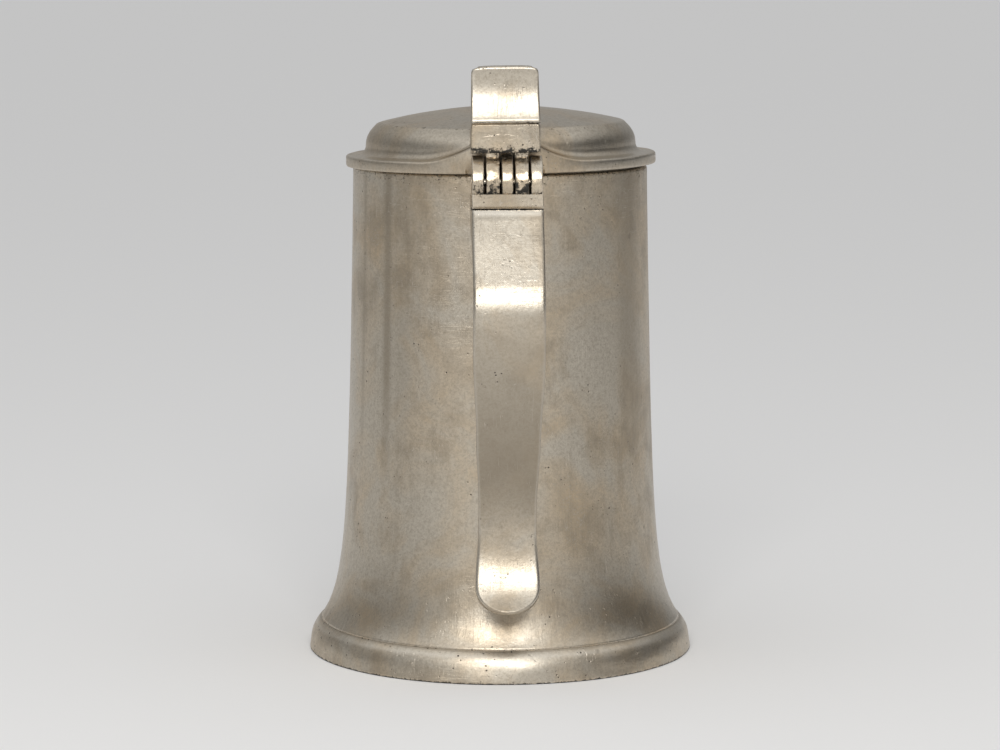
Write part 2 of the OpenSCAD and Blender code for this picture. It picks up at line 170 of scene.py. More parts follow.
def pewter(name, tone, brown, rough, streaks, pits, grime_and_shade, seed):
    """Old pewter: cloudy tone, streaks along the piece, scratches, pits, grime and rubbed edges,
    plus the painted shade, painted reflections and painted highlights that each piece's paints carry.
    """
    material = bpy.data.materials.new(name)
    material.use_nodes = True
    tree = material.node_tree
    shader = tree.nodes["Principled BSDF"]
    w = Wire(tree)
    place = w.make("ShaderNodeTexCoord", output="Object")
    run = w.make("ShaderNodeUVMap", {"uv_map": "run"})
    dirt_and_shade_paint = w.make("ShaderNodeAttribute", {"attribute_name": "dirt_and_shade"}, output="Fac")
    rub_and_highlight_paint = w.make("ShaderNodeAttribute", {"attribute_name": "rub_and_highlight"}, output="Fac")
    dull_and_shade_paint = w.make("ShaderNodeAttribute", {"attribute_name": "dull_and_shade"}, output="Fac")

    def clouds(vector, scale, detail=3.0, roughness=0.55, warp=0.0, shift=0.0):
        moved = w.make("ShaderNodeVectorMath", {"operation": "ADD"},
                       {0: vector, 1: (seed + shift, seed * 0.7, shift)})
        return w.make("ShaderNodeTexNoise", {}, {
            "Vector": moved, "Scale": scale, "Detail": detail, "Roughness": roughness,
            "Distortion": warp})

    def stretched(across, along):
        return w.make("ShaderNodeVectorMath", {"operation": "MULTIPLY"},
                      {0: run, 1: (across, along, 1.0)})

    broad = clouds(place, 22.0, 2.0)
    stain = clouds(place, 95.0, 5.0, 0.62, 0.6, 3.0)
    fine = clouds(place, 900.0, 4.0, 0.7, 0.0, 5.0)
    crumbs = clouds(place, 520.0, 5.0, 0.75, 0.4, 19.0)
    patch = clouds(place, 48.0, 4.0, 0.6, 0.8, 23.0)
    streak = clouds(stretched(330.0, 14.0), 1.0, 3.0, 0.6, 0.3, 7.0)
    brushed = clouds(stretched(5200.0, 420.0), 1.0, 2.0, 0.6, 0.0, 9.0)
    hairline = abs(clouds(stretched(900.0, 75.0), 1.0, 1.0, 0.4, 1.2, 11.0) - 0.5)
    scratch = (1.0 - hairline.step(0.0, 0.012)) * stain.step(0.5, 0.66)
    cross_hair = abs(clouds(stretched(60.0, 640.0), 1.0, 1.0, 0.4, 1.5, 13.0) - 0.5)
    scratch = scratch + (1.0 - cross_hair.step(0.0, 0.009)) * broad.step(0.5, 0.62) * 0.7
    pit_cell = w.make("ShaderNodeTexVoronoi", {}, {"Vector": place, "Scale": 640.0})
    pit = (1.0 - pit_cell.step(0.07, 0.2)) * clouds(place, 140.0, 2.0, 0.5, 0.0, 15.0).step(
        0.60 - 0.06 * pits, 0.72)
    spot_cell = w.make("ShaderNodeTexVoronoi", {}, {"Vector": place, "Scale": 150.0})
    spot = (1.0 - spot_cell.step(0.05, 0.16)) * clouds(place, 70.0, 2.0, 0.5, 0.0, 17.0).step(
        0.55, 0.66)
    soot = clouds(place, 1500.0, 5.0, 0.8, 0.5, 21.0)
    # Grime from the dirt paint; where that paint marks shade, this is painted shade and painted shadow
    caked_and_shaded = dirt_and_shade_paint * 1.15 - 0.62 + (soot - 0.5) * 3.2 + (crumbs - 0.5) * 1.8
    grime_and_shade_mask = (caked_and_shaded * 3.0).clamp() * dirt_and_shade_paint.step(0.02, 0.3) * grime_and_shade
    dark_marks_and_shade = (pit * 0.75 * pits + spot * 0.35 + grime_and_shade_mask).clamp()

    def mix(factor, a, b):
        return w.make("ShaderNodeMix", {"data_type": "RGBA"}, {0: factor, 6: a, 7: b}, output=2)

    grey = (tone * 0.985, tone * 0.895, tone * 0.75, 1)
    warm = (tone * 1.03, tone * 0.83, tone * 0.585, 1)
    dull_and_shade = (tone * 0.56, tone * 0.475, tone * 0.365, 1)
    pale = (min(tone * 1.45, 0.95), min(tone * 1.35, 0.92), min(tone * 1.18, 0.86), 1)
    black_dirt_and_shade = (0.014, 0.011, 0.007, 1)
    colour = mix((brown + (patch - 0.5) * 3.4 + (broad - 0.5) * 1.6).clamp(), grey, warm)
    tarnish = ((streak - 0.5) * 0.9 * streaks + (broad - 0.5) * 1.7 + (stain - 0.47) * 2.3
               + (patch - 0.52) * 1.6)
    colour = mix(tarnish.clamp(0.0, 0.65), colour, dull_and_shade)
    colour = mix(((soot - 0.46) * 3.0).clamp(0.0, 0.55), colour, dull_and_shade)
    colour = mix(((fine - 0.47) * 1.3).clamp(0.0, 0.4), colour, dull_and_shade)
    colour = mix(((soot - 0.62) * 2.0 + (patch - 0.56) * 1.6).clamp(0.0, 0.4), colour, pale)
    # The dull paint darkens the foot seam, and is painted shade on the handle's grip and painted
    # reflection in the drum's long bands
    colour = mix((dull_and_shade_paint * (0.7 + 0.6 * stain)).clamp(), colour, dull_and_shade)
    # Scratches and rubbed edges turn pale; on the handle's rolled top edge the rub paint is a painted
    # highlight
    colour = mix((scratch * 0.35 + rub_and_highlight_paint * 0.6).clamp(), colour, pale)
    colour = mix(dark_marks_and_shade, colour, black_dirt_and_shade)
    links = tree.links
    links.new(colour.socket, shader.inputs["Base Color"])
    roughness = (rough + (broad - 0.5) * 0.16 + (streak - 0.5) * 0.12 * streaks
                 + (fine - 0.5) * 0.14 - rub_and_highlight_paint * 0.08 + dark_marks_and_shade * 0.35)
    links.new(roughness.clamp(0.12, 0.95).socket, shader.inputs["Roughness"])
    links.new((1.0 - dark_marks_and_shade * 0.95).socket, shader.inputs["Metallic"])
    height = (brushed * 0.22 + stain * 1.4 + fine * 0.5 + streak * 0.8
              - scratch * 0.45 - pit * 1.6 * pits - spot * 0.6 + grime_and_shade_mask * fine * 1.5)
    bump = w.make("ShaderNodeBump", {}, {"Strength": 0.55, "Distance": 0.00012, "Height": height})
    links.new(bump.socket, shader.inputs["Normal"])
    return material


pewter_drum = pewter("pewter_drum", tone=0.60, brown=0.35, rough=0.37, streaks=0.8, pits=1.4,
                     grime_and_shade=1.0, seed=1.0)

turning = bpy.data.node_groups.new("drum_turning", "GeometryNodeTree")
turning.interface.new_socket("Drum", in_out="OUTPUT", socket_type="NodeSocketGeometry")
drum_sizes = {"Rim height": 0.131, "Foot height": 0.0082, "Rim radius": 0.0394, "Taper": 0.00165,
              "Flare": 0.0081, "Flare reach": 0.017, "Wall": 0.002, "Dents": 0.00022, "Seed": 4.0}
for name, value in drum_sizes.items():
    made = turning.interface.new_socket(name, in_out="INPUT", socket_type="NodeSocketFloat")
    made.default_value = value
w = Wire(turning)
given = turning.nodes.new("NodeGroupInput")
size = {name: Wire(turning, given.outputs[name]) for name in drum_sizes}
stretches, rows_each, around = 4, 44, 321
grid = w.make("GeometryNodeMeshGrid", {}, {
    "Size X": 1.0, "Size Y": 1.0, "Vertices X": around, "Vertices Y": stretches * rows_each + 1})
spot_on_grid = w.make("GeometryNodeInputPosition")
parts = turning.nodes.new("ShaderNodeSeparateXYZ")
turning.links.new(spot_on_grid.socket, parts.inputs[0])
u = Wire(turning, parts.outputs[0]) + 0.5
v = (Wire(turning, parts.outputs[1]) + 0.5) * float(stretches)
going_up = v.clamp()
over_rim = (v - 1.0).clamp()
going_down = (v - 2.0).clamp()
closing = (v - 3.0).clamp()
rim_round = size["Wall"] * 0.4
span = size["Rim height"] - rim_round - size["Foot height"]
share = going_up ** 1.35 - going_down ** 0.75
z = size["Foot height"] + span * share + rim_round * w.maths("SINE", over_rim * pi)
rise = z - size["Foot height"]
full = size["Rim height"] - size["Foot height"]
radius = (size["Rim radius"] + size["Taper"] * (1.0 - rise / full)
          + size["Flare"] * (size["Flare reach"] / (rise + size["Flare reach"])) ** 1.5
          - size["Flare"] * (size["Flare reach"] / (full + size["Flare reach"])) ** 1.5)
radius = radius - size["Wall"] * 0.5 * (1.0 - w.maths("COSINE", over_rim * pi)) * (1.0 - closing)
turn = u * (2 * pi)
ring_x = w.maths("SINE", turn)
ring_y = 0.0 - w.maths("COSINE", turn)
ring = w.make("ShaderNodeCombineXYZ", {}, {0: ring_x, 1: ring_y, 2: z * 11.0 + size["Seed"]})
dent = w.make("ShaderNodeTexNoise", {}, {
    "Vector": ring, "Scale": 1.7, "Detail": 2.0, "Roughness": 0.45}) - 0.5
radius = radius + dent * size["Dents"] * (rise * 120.0).clamp() * (
    (size["Rim height"] - z) * 120.0).clamp()
run = w.make("ShaderNodeCombineXYZ", {}, {0: u * 0.25, 1: z, 2: 0.0})
stored = w.make("GeometryNodeStoreNamedAttribute", {"data_type": "FLOAT2", "domain": "CORNER"},
                {"Geometry": grid, "Name": "run", "Value": run})
# Painted shade on the drum's top just under the lid's flange, and dirt in the foot seam
rim_shade = (1.0 - (size["Rim height"] - z) * 260.0).clamp() * 0.55
seam_dirt_and_rim_shade = 0.42 * (1.0 - rise * 900.0).clamp() + rim_shade
stored = w.make("GeometryNodeStoreNamedAttribute", {"data_type": "FLOAT", "domain": "POINT"},
                {"Geometry": stored, "Name": "dirt_and_shade", "Value": seam_dirt_and_rim_shade})
# Painted reflection: long dark bands where darker parts of the room would reflect. Each band has
# its angle round the drum, its half width in radians and its depth
painted_reflection_bands = ((-0.865, 0.035, 0.75), (-1.15, 0.022, 0.5), (0.98, 0.13, 0.6), (-0.72, 0.06, 0.25))
bands = 0.0
for angle, spread, depth in painted_reflection_bands:
    across = (w.maths("PINGPONG", turn, 2 * pi) - (angle % (2 * pi))) / spread
    bands = bands + depth * (1.0 / (1.0 + across ** 4))
stored = w.make("GeometryNodeStoreNamedAttribute", {"data_type": "FLOAT", "domain": "POINT"},
                {"Geometry": stored, "Name": "dull_and_shade", "Value": bands * ((z - 0.045) * 30.0).clamp()})
shaped = w.make("GeometryNodeSetPosition", {}, {
    "Geometry": stored,
    "Position": w.make("ShaderNodeCombineXYZ", {}, {0: radius * ring_x, 1: radius * ring_y, 2: z})})
joined = w.make("GeometryNodeMergeByDistance", {}, {"Geometry": shaped, "Distance": 0.000002})
smooth = w.make("GeometryNodeSetShadeSmooth", {}, {"Geometry": joined, "Shade Smooth": True})
real = w.make("GeometryNodeRealizeInstances", {}, {"Geometry": smooth})
coated = w.make("GeometryNodeSetMaterial", {}, {"Geometry": real, "Material": pewter_drum})
result = turning.nodes.new("NodeGroupOutput")
turning.links.new(coated.socket, result.inputs[0])


def grown(name, tree, values):
    """The plain mesh that a Geometry Nodes tree makes from these input values, as an object."""
    seed_mesh = bpy.data.meshes.new(name + "_seed")
    obj = bpy.data.objects.new(name, seed_mesh)
    scene.collection.objects.link(obj)
    modifier = obj.modifiers.new("shape", "NODES")
    modifier.node_group = tree
    for item in tree.interface.items_tree:
        if item.in_out == "INPUT" and item.name in values:
            modifier[item.identifier] = values[item.name]
    view = bpy.context.evaluated_depsgraph_get()
    made = bpy.data.meshes.new_from_object(obj.evaluated_get(view), depsgraph=view)
    obj.modifiers.clear()
    obj.data = made
    bpy.data.meshes.remove(seed_mesh)
    return obj


drum = grown("drum_wall", turning, drum_sizes)
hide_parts("drum")
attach(drum, "tankard")

# ---- Foot ----
# A cast ring soldered under the drum: a rounded shoulder over a wall that spreads a little to
# the table, hollow below, with a ledge for the bottom plate. Its seam holds dirt; a painted
# contact shadow darkens its lower edge.


rim_z, foot_h, rim_r, taper, flare, reach = 131, 8.2, 39.4, 1.65, 8.1, 17


def drum_r(z):
    """Outside radius of the drum in millimetres at a height in millimetres."""
    def spread(h):
        return flare * (reach / (h - foot_h + reach)) ** 1.5
    return rim_r + taper * (rim_z - z) / (rim_z - foot_h) + spread(z) - spread(rim_z)


def unit(t):
    return max(0.0, min(1.0, t))


def close_to(value, place, fade):
    """1 at a place, falling evenly to 0 at a distance from it."""
    return max(0.0, 1 - abs(value - place) / fade)


def piece(name, points, faces, runs, material, body, node, dirt_and_shade=None, rub_and_highlight=None, dull_and_shade=None):
    """A mesh from points in millimetres, with its paint, material and place in the frame. The
    runs are millimetres across and along the piece, one pair for each point or face corner."""
    mesh = bpy.data.meshes.new(name)
    mesh.from_pydata([(x / 1000, y / 1000, z / 1000) for x, y, z in points], [], faces)
    layer = mesh.uv_layers.new(name="run")
    for k, loop in enumerate(mesh.loops):
        pair = runs[k] if len(runs) == len(mesh.loops) else runs[loop.vertex_index]
        layer.data[k].uv = (pair[0] / 1000, pair[1] / 1000)
    for label, paint in (("dirt_and_shade", dirt_and_shade), ("rub_and_highlight", rub_and_highlight), ("dull_and_shade", dull_and_shade)):
        layer = mesh.attributes.new(label, "FLOAT", "POINT")
        layer.data.foreach_set("value", [paint(*p) if paint else 0.0 for p in points])
    tidy = bmesh.new()
    tidy.from_mesh(mesh)
    bmesh.ops.remove_doubles(tidy, verts=tidy.verts, dist=1e-7)
    bmesh.ops.dissolve_degenerate(tidy, edges=tidy.edges, dist=1e-8)
    bmesh.ops.recalc_face_normals(tidy, faces=tidy.faces)
    tidy.to_mesh(mesh)
    tidy.free()
    mesh.shade_smooth()
    mesh.set_sharp_from_angle(angle=radians(32))
    mesh.materials.append(material)
    obj = bpy.data.objects.new(name, mesh)
    scene.collection.objects.link(obj)
    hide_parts(node)
    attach(obj, body)


def turned(profile, around, shape):
    """Points, faces and per-corner runs of a closed profile of (radius, height) turned about Z."""
    points, faces, corners = [], [], []
    along = [0.0]
    for a, b in zip(profile, profile[1:]):
        along.append(along[-1] + hypot(b[0] - a[0], b[1] - a[1]))
    for r, z in profile:
        for k in range(around):
            turn = 2 * pi * k / around
            points.append(shape(r * sin(turn), -r * cos(turn), z))
    for i in range(len(profile) - 1):
        for k in range(around):
            n = (k + 1) % around
            low, high = i * around, (i + 1) * around
            faces.append((low + k, low + n, high + n, high + k))
            for j, s in ((k, i), (k + 1, i), (k + 1, i + 1), (k, i + 1)):
                corners.append((250.0 * j / around, along[s]))
    return points, faces, corners


def foot_r(z):
    """Outside radius of the foot at a height: a straight draft and a shoulder that rounds over."""
    return seam_r + 0.1 + 1.1 * (1 - z / foot_h) + 1.9 * (1 - (z / foot_h) ** 4)


seam_r, base_r, foot_wall = drum_r(foot_h), drum_r(foot_h) + 3.1, 2.85
plate_r, plate_low = 46.28, 6.2
foot_profile = [(seam_r - 0.6, 8.35), (seam_r - 0.02, 8.3), (foot_r(foot_h) + 0.02, 8.12)]
foot_profile += [(foot_r(8.05 - 0.28 * k), 8.05 - 0.28 * k) for k in range(27)]
foot_profile += [(foot_r(0.5), 0.5), (foot_r(0.3) - 0.06, 0.22), (base_r - 0.3, 0.05),
                 (base_r - 0.7, 0.0), (base_r - 2.2, 0.0), (base_r - 2.7, 0.15),
                 (base_r - foot_wall, 0.6), (foot_r(5) - foot_wall, 4.6), (foot_r(5) - 3.1, 4.95)]
foot_profile += [(45.3, 5.0), (44.9, 5.1), (44.8, 5.4), (44.8, 6.0), (45.0, plate_low),
                 (plate_r, plate_low), (plate_r, 8.1), (seam_r - 0.6, 8.35)]


def foot_dents(x, y, z):
    wave = noise.noise(Vector((x * 0.11, y * 0.11, z * 0.3 + 7))) * 0.10
    r = hypot(x, y)
    k = (r + wave * unit((7.6 - z) / 2)) / r
    return x * k, y * k, z


def foot_dirt_and_shadow(x, y, z):
    if hypot(x, y) <= 47:
        return 0.45
    # Dirt in the seam, and a painted contact shadow along the lower edge
    return 0.24 * close_to(z, foot_h, 0.3) + 1.15 * max(0.0, 1 - z / 0.8)


def foot_rub(x, y, z):
    return max(0.0, 0.5 - abs(z - 7.0) / 1.6) if hypot(x, y) > 49 else 0.0


def foot_dull(x, y, z):
    return 0.9 * close_to(z, foot_h, 0.3)


foot_points, foot_faces, foot_runs = turned(foot_profile, 320, foot_dents)
pewter_foot = pewter("pewter_foot", tone=0.62, brown=0.35, rough=0.37, streaks=0.7, pits=2.8,
                     grime_and_shade=1.0, seed=2.0)
piece("foot_moulding", foot_points, foot_faces, foot_runs, pewter_foot, "tankard",
      "foot_ring", foot_dirt_and_shadow, foot_rub, foot_dull)

# ---- Handle ----
# A cast strap soldered to the drum and hinge block at its top. It slants out to a rounded
# shoulder, draws in to a waist and flares to a tongue-shaped tail. Hands rub its long edges
# bright; its rolled top edge has a painted highlight and its grip painted shade.


def bezier(p, t):
    """The point at share t along a cubic curve with four control points."""
    m = 1 - t
    k = (m ** 3, 3 * m * m * t, 3 * m * t * t, t ** 3)
    return tuple(sum(w * q[i] for w, q in zip(k, p)) for i in (0, 1))


def down(angle):
    """The direction in the YZ plane that leans outwards from straight down by an angle."""
    return -sin(radians(angle)), -cos(radians(angle))


def plus(a, b, k=1.0):
    """A point moved by k times a direction."""
    return a[0] + k * b[0], a[1] + k * b[1]


block_z, block_y = 123.4, -56.0
handle_top = (block_y + 0.4, block_z)
bow, shoulder_r = (-67.7, 97.5), 17
shoulder_mid = (bow[0] + shoulder_r, bow[1])
to_top = (handle_top[0] - shoulder_mid[0], handle_top[1] - shoulder_mid[1])
slant = 180 - degrees(atan2(to_top[1], to_top[0]) + acos(shoulder_r / hypot(*to_top)))
shoulder_top = plus(shoulder_mid, (-cos(radians(slant)), sin(radians(slant))), shoulder_r)
waist = (-(drum_r(40.5) + 11), 40.5)
tail = (waist[0] - 7.6, 20)
grip, tail_len = bow[1] - waist[1], waist[1] - tail[1]
middle = [bow, (bow[0] + 1, bow[1] - 0.56 * grip), (waist[0], waist[1] + 0.21 * grip), waist]
lower = [waist, (waist[0], waist[1] - 0.49 * tail_len), plus(tail, down(50), -0.24 * tail_len),
         tail]

outer_line = [plus(handle_top, (shoulder_top[0] - handle_top[0], shoulder_top[1] - handle_top[1]),
                   k / 18) for k in range(19)]
outer_line += [plus(shoulder_mid, (cos(radians(a)), sin(radians(a))), shoulder_r)
               for a in [180 - slant + slant * k / 14 for k in range(1, 15)]]
outer_line += [bezier(middle, k / 44) for k in range(1, 45)]
outer_line += [bezier(lower, 1 - (1 - k / 40) ** 1.6) for k in range(1, 41)]

strap_t = 2.9
inner_line = []
for i, p in enumerate(outer_line):
    a, b = outer_line[max(0, i - 1)], outer_line[min(len(outer_line) - 1, i + 1)]
    d = hypot(b[0] - a[0], b[1] - a[1])
    inner_line.append((p[0] - strap_t * (b[1] - a[1]) / d, p[1] + strap_t * (b[0] - a[0]) / d))
root_y, root_at = -37.8, 16
root_start = inner_line[root_at]
root = [(root_y, block_z - 7), (-48.4, block_z - 7), plus(root_start, down(slant), -5), root_start]
for i in range(root_at):
    inner_line[i] = bezier(root, i / root_at)


def ease(t):
    """From 0 to 1 with soft ends."""
    return unit(t) ** 2 * (3 - 2 * unit(t))


def half_width(z):
    """Half the strap's width in millimetres at a height, from the hinge down to the tail's tip."""
    w = 9.1 - 0.9 * ease((88 - z) / 24) - 0.75 * ease((66 - z) / 20) + 0.8 * ease((41 - z) / 14)
    if z < 26.6:
        w *= max(0.0, 1 - (max(0.0, 26.6 - z) / 6.6) ** 2.3) ** 0.5
    return w


def lofted(pairs, half_widths, corner, across, bend, crown=0.0, fit=None):
    """A bar through pairs of (outer, inner) points in the YZ plane, with rounded long edges."""
    points, runs, faces = [], [], []
    along, size = 0.0, 0
    for i, ((o, n), w) in enumerate(zip(pairs, half_widths)):
        if i:
            along += hypot(o[0] - pairs[i - 1][0][0], o[1] - pairs[i - 1][0][1])
        thick = hypot(n[0] - o[0], n[1] - o[1])
        into = ((n[0] - o[0]) / thick, (n[1] - o[1]) / thick) if thick > 1e-9 else (1.0, 0.0)
        r = max(0.0005, min(corner, thick / 2 - 0.001, w * 0.98))
        ring = []
        for k in range(across):
            t = -1 + 2 * k / (across - 1)
            ring.append(((w - r) * t, -crown * (1 - t * t) * min(1.0, w / 3)))
        for k in range(1, bend + 1):
            a = pi / 2 * k / bend
            ring.append((w - r + r * sin(a), r - r * cos(a)))
        for k in range(0, bend + 1):
            a = pi / 2 * k / bend
            ring.append((w - r + r * cos(a), thick - r + r * sin(a)))
        for k in range(1, across - 1):
            t = 1 - 2 * k / (across - 1)
            ring.append(((w - r) * t, thick))
        for k in range(0, bend + 1):
            a = pi / 2 * k / bend
            ring.append((-(w - r) - r * sin(a), thick - r + r * cos(a)))
        for k in range(0, bend):
            a = pi / 2 * k / bend
            ring.append((-(w - r) - r * cos(a), r - r * sin(a)))
        size = len(ring)
        for x, deep in ring:
            p = (x, o[0] + into[0] * deep, o[1] + into[1] * deep)
            points.append(fit(*p) if fit else p)
            runs.append((x + deep, along))
    for i in range(len(pairs) - 1):
        for k in range(size):
            n = (k + 1) % size
            faces.append((i * size + k, i * size + n, (i + 1) * size + n, (i + 1) * size + k))
    faces.append(tuple(range(size))[::-1])
    faces.append(tuple(range((len(pairs) - 1) * size, len(pairs) * size)))
    return points, faces, runs


def onto_drum(x, y, z):
    """Keeps a point that reaches the drum just inside the drum's outer face."""
    inside = -sqrt(max(1.0, (drum_r(z) - 0.6) ** 2 - x * x))
    wave = noise.noise(Vector((x * 0.09, y * 0.09, z * 0.07))) * 0.12
    return (x, min(y, inside), z) if y > inside - 0.3 else (x + wave * 0.6, y + wave, z)


rolled_edge = (((0.7, -0.05), 0.4), ((0.12, -0.09), 1.5), ((-0.11, -0.30), 3.0), ((-0.40, -1.10), 5.0))
handle_pairs = [(plus(handle_top, step), (root_y, block_z - drop)) for step, drop in rolled_edge]
handle_pairs += list(zip(outer_line[2:], inner_line[2:]))
handle_widths = [half_width(o[1]) for o, n in handle_pairs]
# The tail thins towards its tip, which is a little higher than the strap's own line
for i, (o, n) in enumerate(handle_pairs):
    thin = 0.22 + 0.78 * sqrt(max(0.0, 1 - (max(0.0, 26 - o[1]) / 6) ** 2))
    tip = plus(o, (0, 0.09 * max(0.0, 30 - o[1])))
    handle_pairs[i] = (tip, plus(tip, (n[0] - o[0], n[1] - o[1]), thin))
handle_points, handle_faces, handle_runs = lofted(
    handle_pairs, handle_widths, 0.85, across=21, bend=5, crown=0.16, fit=onto_drum)
pewter_handle = pewter("pewter_handle", tone=0.585, brown=0.12, rough=0.35, streaks=0.4, pits=1.2,
                       grime_and_shade=1.0, seed=3.0)


def handle_dirt(x, y, z):
    return 1.1 if z > 123.2 else (0.5 if y > -50 and z > 110 else 0.0)


def handle_rub_and_highlight(x, y, z):
    """Rubbed bright along both long edges, and a painted highlight over the rolled top edge."""
    w = half_width(z)
    if z > 122.3:
        return 1.0
    return 0.45 * close_to(abs(x), w - 0.25, 0.45) if w > 1 else 0.5


def handle_painted_shade(x, y, z):
    """Painted shade: the grip is darker than the shoulder and tail, and darkest above the waist."""
    return (0.45 + 0.35 * exp(-((z - 60) / 15) ** 2)) * ease((z - 36) / 16) * unit((101 - z) / 12)


piece("handle_strap", handle_points, handle_faces, handle_runs, pewter_handle, "tankard",
      "handle", handle_dirt, handle_rub_and_highlight, handle_painted_shade)

# ---- Hinge block ----
# The fixed half of the hinge, cast with the handle's top: a short sloping face over a groove,
# and three knuckles, with scooped floors where the lid's two knuckles turn. Dirt fills the gaps.

hinge_y, hinge_z, barrel_r = -47.0, 129.7, 6.8


def around_pin(r, angle):
    """A point [y, z] at a radius and an angle about the pin: 90 is up, 180 towards the handle."""
    return hinge_y + r * cos(radians(angle)), hinge_z + r * sin(radians(angle))


def inset(outline, gap):
    """A closed outline moved inwards by a gap, corner by corner."""
    area = sum(a[0] * b[1] - b[0] * a[1] for a, b in zip(outline, outline[1:] + outline[:1]))
    side = 1 if area > 0 else -1
    moved = []
    for i, p in enumerate(outline):
        a, b = outline[i - 1], outline[(i + 1) % len(outline)]
        d1, d2 = hypot(p[0] - a[0], p[1] - a[1]), hypot(b[0] - p[0], b[1] - p[1])
        n1 = (-(p[1] - a[1]) / d1 * side, (p[0] - a[0]) / d1 * side)
        n2 = (-(b[1] - p[1]) / d2 * side, (b[0] - p[0]) / d2 * side)
        k = gap / max(0.35, 1 + n1[0] * n2[0] + n1[1] * n2[1])
        moved.append((p[0] + (n1[0] + n2[0]) * k, p[1] + (n1[1] + n2[1]) * k))
    return moved


def plates(slabs, across, uneven):
    """Outlines in the YZ plane made solid between two places on X, with rounded side edges."""
    points, faces, runs = [], [], []
    steps = 3
    bend = [pi / 2 * k / steps for k in range(steps + 1)]
    for outline, x0, x1, r in slabs:
        layers = [(x0 + r * (1 - cos(a)), r * (1 - sin(a))) for a in bend]
        layers += [(x0 + r + (x1 - x0 - 2 * r) * k / across, 0.0) for k in range(1, across)]
        layers += [(x1 - r * (1 - cos(a)), r * (1 - sin(a))) for a in reversed(bend)]
        first, n = len(points), len(outline)
        along = [0.0]
        for a, b in zip(outline, outline[1:]):
            along.append(along[-1] + hypot(b[0] - a[0], b[1] - a[1]))
        for x, gap in layers:
            for (y, z), s in zip(inset(outline, gap), along):
                wave = uneven * noise.noise(Vector((x * 1.1, y * 1.1, z * 1.1)))
                points.append((x, y + wave * (-1 if y < hinge_y else 0.2), z + wave * 0.4))
                runs.append((x, s))
        for i in range(len(layers) - 1):
            for k in range(n):
                m = (k + 1) % n
                faces.append((first + i * n + k, first + i * n + m,
                              first + (i + 1) * n + m, first + (i + 1) * n + k))
        faces.append(tuple(first + k for k in range(n))[::-1])
        faces.append(tuple(first + (len(layers) - 1) * n + k for k in range(n)))
    return points, faces, runs


def line(a, b, count):
    """Evenly spaced points from just after a to b."""
    return [(a[0] + (b[0] - a[0]) * k / count, a[1] + (b[1] - a[1]) * k / count)
            for k in range(1, count + 1)]


face_top = around_pin(7.2, 201.3)
scoop = [around_pin(7.15, a) for a in range(206, 330, 4)]
block_outline = [(-38.6, 121.2), (-50.4, 121.2), (block_y + 0.9, block_z + 0.02),
                 (block_y + 0.35, block_z + 0.25), (block_y, block_z + 0.8)]
block_outline += line((block_y, block_z + 0.8), face_top, 7)[:-1] + [face_top]
block_outline += scoop + [(-38.6, 126.1)]
knuckle_outline = [around_pin(barrel_r, a) for a in range(202, -33, -4)]
knuckle_outline += [around_pin(7.9, a) for a in range(326, 216, -12)]
hinge_half, outer_face, outer_gap, inner_gap = 9.05, 8.97, 5.95, 1.45
hinge_slabs = [(block_outline, -hinge_half, hinge_half, 0.3)]
hinge_slabs += [(knuckle_outline, x0, x1, 0.28) for x0, x1 in (
    (-outer_face, -outer_gap), (-inner_gap, inner_gap), (outer_gap, outer_face))]
hinge_points, hinge_faces, hinge_runs = plates(hinge_slabs, 6, 0.07)
pewter_hinge = pewter("pewter_hinge", tone=0.61, brown=0.45, rough=0.28, streaks=0.4, pits=1.8,
                      grime_and_shade=1.0, seed=4.0)


def hinge_dirt(x, y, z):
    """Most in the groove, along the block's ragged top, and between the knuckles."""
    base = max(0.0, 0.85 - abs(z - 127.4) / 0.9) if y < -50 else 0.35
    ragged = 0.5 + 0.9 * noise.noise(Vector((x * 0.45, y * 0.5, z * 0.6)))
    left = 0.75 * close_to(x, -6.5, 5) * close_to(z, 128.4, 3.2)
    groove = max(0.0, 1.1 - abs(z - block_z) / 0.35)
    by_gap = min(abs(abs(x) - edge) for edge in (inner_gap, outer_gap)) < 0.2
    edges = 0.65 if z > 127.2 and by_gap else 0.0
    return (base * ragged + left) * 1.1 + groove + edges


def hinge_rub(x, y, z):
    return 0.45 * close_to(abs(x), 8.95, 0.3)


piece("hinge_block", hinge_points, hinge_faces, hinge_runs, pewter_hinge, "tankard",
      "hinge_block", hinge_dirt, hinge_rub)

# ---- Lid ----
# A lid cast and turned in one: a thick flat flange, a wall that draws in to a soft crease, and
# a low dome, with a locating ring below. By the arm it swells up in one hollow sweep.


def dome(edge_r, edge_z, rise, steps):
    """A shallow cap of a ball as (radius, height) points from its edge to its top."""
    ball = (edge_r ** 2 + rise ** 2) / (2 * rise)
    radii = [edge_r * (1 - k / steps) for k in range(steps)] + [0.02]
    return [(x, edge_z + rise - ball + sqrt(ball * ball - x * x)) for x in radii]


# Locating ring, flange, the hollow above it, the crown's wall, its crease, and the dome
lid_outer = [(36.78, 129.3), (36.8, 129.6), (36.8, 130.98), (41.0, 131.0), (41.3, 131.08),
             (41.46, 131.3), (41.5, 131.7), (41.52, 132.4), (41.5, 133.2), (41.42, 133.62),
             (41.22, 133.86), (40.9, 133.97)]
lid_outer += [(40.9 - 0.28 * k, 133.97 + 0.02 * k) for k in range(1, 10)]
hollow_r = 2.2
lid_outer += [(38.38 - hollow_r * sin(pi / 2 * k / 10), 134.15 + hollow_r * (1 - cos(pi / 2 * k / 10)))
              for k in range(1, 11)]
lid_outer += [(36.18 - 0.25 * (k / 14) - 2.4 * (k / 14) ** 2.4, 136.35 + 5.45 * k / 14)
              for k in range(1, 15)]
lid_outer += [(33.32, 142.06), (33.0, 142.26), (32.6, 142.42)]
lid_outer += dome(32.3, 142.5, 3.9, 28)
